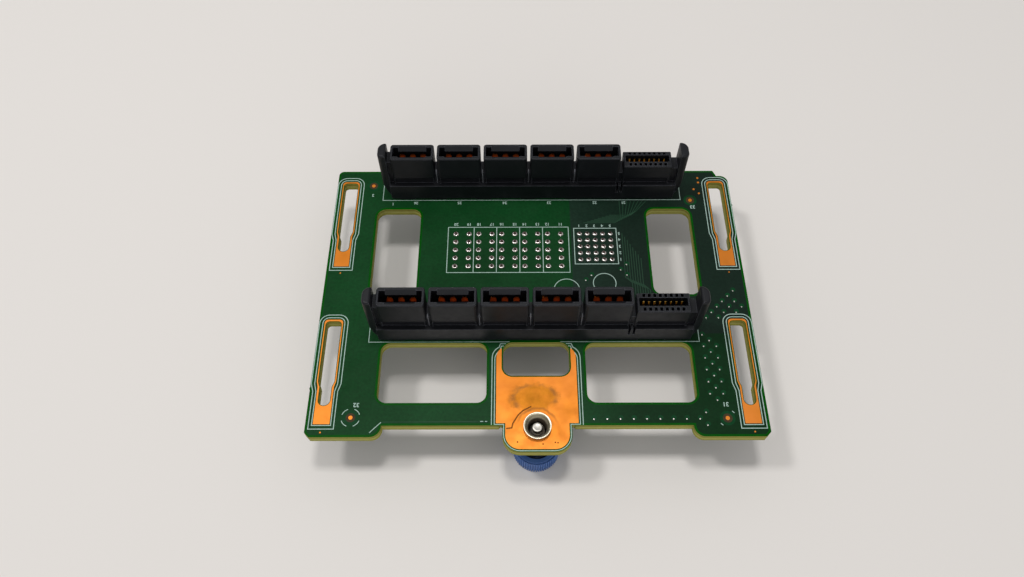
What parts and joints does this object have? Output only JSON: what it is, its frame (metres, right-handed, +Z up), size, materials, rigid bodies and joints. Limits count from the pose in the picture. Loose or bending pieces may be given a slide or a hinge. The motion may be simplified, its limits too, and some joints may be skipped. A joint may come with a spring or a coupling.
{
  "type": "power supply backplane",
  "caption": "Circuit board backplane with card-edge sockets for two power supplies, keyhole hanging slots, and a tab with a sprung captive thumbscrew.",
  "frame": {"origin": "bottom centre of the part's box, on the surface that the part rests on", "axes": "+X along the sockets towards their signal blocks, +Y away from the thumbscrew tab, +Z up out of the sockets"},
  "size_m": [0.1058, 0.0798, 0.0312],
  "materials": {
    "solder_mask": "deep green solder mask, semi-gloss, olive bare edge",
    "copper_land": "bare copper, satin, a little tarnished",
    "socket_plastic": "glass-filled black moulding, fine satin",
    "contact_copper": "copper alloy, dulled",
    "contact_gold": "gold plated",
    "link_plastic": "black moulding, satin",
    "tinned_copper": "bright tin plating",
    "plated_steel": "nickel plated, turned",
    "screw_steel": "zinc plated",
    "spring_steel": "drawn wire",
    "knob_plastic": "blue moulding, satin, fine ribs"
  },
  "bodies": {
    "root": {"circuit_board": "solder_mask", "slot_pads": "copper_land", "tab_pad": "copper_land", "rear_socket_housing": "socket_plastic", "rear_socket_power_contacts_front": "contact_copper", "rear_socket_power_contacts_back": "contact_copper", "rear_socket_signal_contacts_front": "contact_gold", "rear_socket_signal_contacts_back": "contact_gold", "front_socket_housing": "socket_plastic", "front_socket_power_contacts_front": "contact_copper", "front_socket_power_contacts_back": "contact_copper", "front_socket_signal_contacts_front": "contact_gold", "front_socket_signal_contacts_back": "contact_gold", "link_housing": "link_plastic", "link_power_contacts_left": "tinned_copper", "link_power_contacts_right": "tinned_copper", "link_signal_pins": "tinned_copper", "screw_ferrule": "plated_steel"},
    "spring": {"screw_spring": "spring_steel"},
    "knob": {"thumb_knob": "knob_plastic", "captive_screw": "screw_steel"}
  },
  "joints": [
    {"name": "screw_push", "type": "slide", "parent": "root", "child": "spring", "axis": [0, 0, 1], "range_m": [0, 0.004], "stiffness_N_per_m": 400, "springref_m": -0.003, "deforming": ["screw_spring"]},
    {"name": "screw_turn", "type": "hinge", "parent": "spring", "child": "knob", "pos_m": [0, -0.03415, 0], "axis": [0, 0, 1], "continuous": true}
  ]
}
